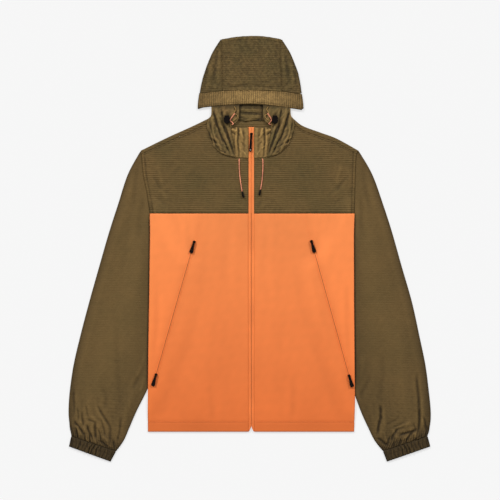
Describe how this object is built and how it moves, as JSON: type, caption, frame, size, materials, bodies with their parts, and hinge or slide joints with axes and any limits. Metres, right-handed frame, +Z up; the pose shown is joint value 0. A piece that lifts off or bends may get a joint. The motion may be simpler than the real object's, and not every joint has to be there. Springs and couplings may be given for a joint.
{
  "type": "hooded windbreaker jacket",
  "caption": "Hooded windbreaker laid flat: olive hood, yoke and sleeves, orange lower body, full front zip, slanted pocket zips, drawcords and gathered cuffs",
  "frame": {"origin": "middle of the laid-out jacket's footprint, on the surface that it lies on", "axes": "+X to the viewer's right across the shoulders, +Y from hem to hood, +Z up out of the front"},
  "size_m": [0.8511, 0.9994, 0.0134],
  "materials": {
    "olive_shell": "ribbed nylon, soft sheen",
    "sand_shell": "ribbed nylon, lighter face",
    "orange_shell": "smooth plain-weave nylon, matt",
    "orange_zip": "woven zip tape",
    "black_fitting": "satin black",
    "coral_cord": "braided cord"
  },
  "bodies": {
    "shell": {"back_lower": "orange_shell", "back_yoke": "olive_shell", "front_left": "orange_shell", "front_right": "orange_shell", "yoke_front_left": "olive_shell", "yoke_front_right": "olive_shell", "sleeve_left": "olive_shell", "sleeve_right": "olive_shell", "cuff_left": "olive_shell", "cuff_right": "olive_shell", "hood_centre": "olive_shell", "hood_side_left": "olive_shell", "hood_side_right": "olive_shell", "hood_brim": "olive_shell", "hood_flap_left": "olive_shell", "hood_flap_right": "olive_shell", "chin_left": "sand_shell", "chin_right": "sand_shell", "zip_tape_left": "orange_zip", "zip_tape_right": "orange_zip", "zip_main_slider": "black_fitting", "pocket_zip_left": "orange_zip", "pocket_left_upper_slider": "black_fitting", "pocket_left_lower_slider": "black_fitting", "pocket_zip_right": "orange_zip", "pocket_right_upper_slider": "black_fitting", "pocket_right_lower_slider": "black_fitting", "drawcord_left": "coral_cord", "drawcord_tip_left": "black_fitting", "drawcord_right": "coral_cord", "drawcord_tip_right": "black_fitting", "cord_lock_left": "black_fitting", "cord_lock_button_left": "black_fitting", "lock_cord_left": "coral_cord", "cord_lock_right": "black_fitting", "cord_lock_button_right": "black_fitting", "lock_cord_right": "coral_cord"},
    "main_pull": {"zip_main_pull": "black_fitting"},
    "left_upper_pull": {"pocket_left_upper_pull": "black_fitting"},
    "left_lower_pull": {"pocket_left_lower_pull": "black_fitting"},
    "right_upper_pull": {"pocket_right_upper_pull": "black_fitting"},
    "right_lower_pull": {"pocket_right_lower_pull": "black_fitting"}
  },
  "joints": [
    {"name": "main_pull_hinge", "type": "hinge", "parent": "shell", "child": "main_pull", "pos_m": [0.0045, 0.268, 0.0067], "axis": [-0.9981, 0.0611, 0], "range_deg": [0, 165]},
    {"name": "left_upper_hinge", "type": "hinge", "parent": "shell", "child": "left_upper_pull", "pos_m": [-0.12988, 0.01489, 0.00876], "axis": [-0.9611, 0.2761, 0], "range_deg": [0, 165]},
    {"name": "left_lower_hinge", "type": "hinge", "parent": "shell", "child": "left_lower_pull", "pos_m": [-0.21932, -0.29651, 0.01128], "axis": [-0.9611, 0.2761, 0], "range_deg": [0, 165]},
    {"name": "right_upper_hinge", "type": "hinge", "parent": "shell", "child": "right_upper_pull", "pos_m": [0.14585, 0.01618, 0.00903], "axis": [-0.963, -0.2694, 0], "range_deg": [0, 165]},
    {"name": "right_lower_hinge", "type": "hinge", "parent": "shell", "child": "right_lower_pull", "pos_m": [0.234, -0.29896, 0.01127], "axis": [-0.963, -0.2694, 0], "range_deg": [0, 165]}
  ]
}
